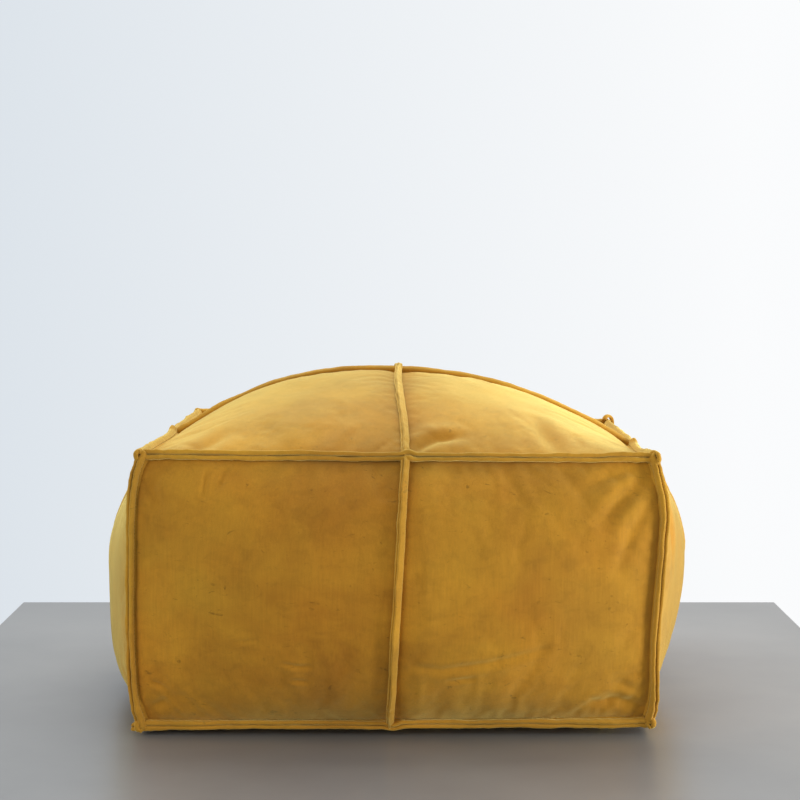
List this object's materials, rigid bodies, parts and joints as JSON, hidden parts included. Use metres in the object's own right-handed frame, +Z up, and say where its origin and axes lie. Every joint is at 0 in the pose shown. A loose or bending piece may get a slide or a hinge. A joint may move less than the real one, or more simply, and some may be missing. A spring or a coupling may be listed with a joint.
{
  "type": "floor cushion",
  "caption": "Square floor cushion: velvet panels joined by raised seams, a domed top, bulging walls, and a cover that unzips at the back.",
  "frame": {"origin": "on the floor, under the middle of the cushion", "axes": "+Z up, the front wall faces -Y, +X to the right of somebody who looks at the front wall, and the zip is in the back wall at +Y"},
  "size_m": [0.768, 0.768, 0.42],
  "materials": {
    "velvet": "velvet",
    "thread": "matte",
    "zip_tape": "woven",
    "zip_coil": "satin",
    "zip_metal": "antique",
    "liner_cotton": "matte",
    "filling": "matte",
    "label": "satin"
  },
  "bodies": {
    "cover": {"back_panel_left": "velvet", "back_panel_right": "velvet", "back_zip_strip": "velvet", "base_panel": "velvet", "care_label": "label", "filling": "filling", "front_panel_left": "velvet", "front_panel_right": "velvet", "left_panel_back": "velvet", "left_panel_front": "velvet", "liner_back": "liner_cotton", "liner_base": "liner_cotton", "liner_front": "liner_cotton", "liner_left": "liner_cotton", "liner_right": "liner_cotton", "liner_top": "liner_cotton", "right_panel_back": "velvet", "right_panel_front": "velvet", "top_panel_back_left": "velvet", "top_panel_back_right": "velvet", "top_panel_front_left": "velvet", "top_panel_front_right": "velvet", "topstitching_back": "thread", "topstitching_base": "thread", "topstitching_front": "thread", "topstitching_left": "thread", "topstitching_right": "thread", "topstitching_top": "thread", "zip_bottom_stop": "zip_metal", "zip_coil_lower": "zip_coil", "zip_coil_upper": "zip_coil", "zip_end_tab_left": "velvet", "zip_end_tab_right": "velvet", "zip_tape_lower": "zip_tape", "zip_tape_upper": "zip_tape", "zip_top_stops": "zip_metal"},
    "slider": {"zip_slider": "zip_metal"},
    "pull": {"zip_pull": "zip_metal"}
  },
  "joints": [
    {"name": "slider_travel", "type": "hinge", "parent": "cover", "child": "slider", "pos_m": [0, -1.007, 0.068], "axis": [0, 0, 1], "range_deg": [0, 18.52]},
    {"name": "pull_swing", "type": "hinge", "parent": "slider", "child": "pull", "pos_m": [0.21737, 0.3262, 0.06698], "axis": [-0.0659, -0.4044, -0.9122], "range_deg": [0, 178]}
  ]
}
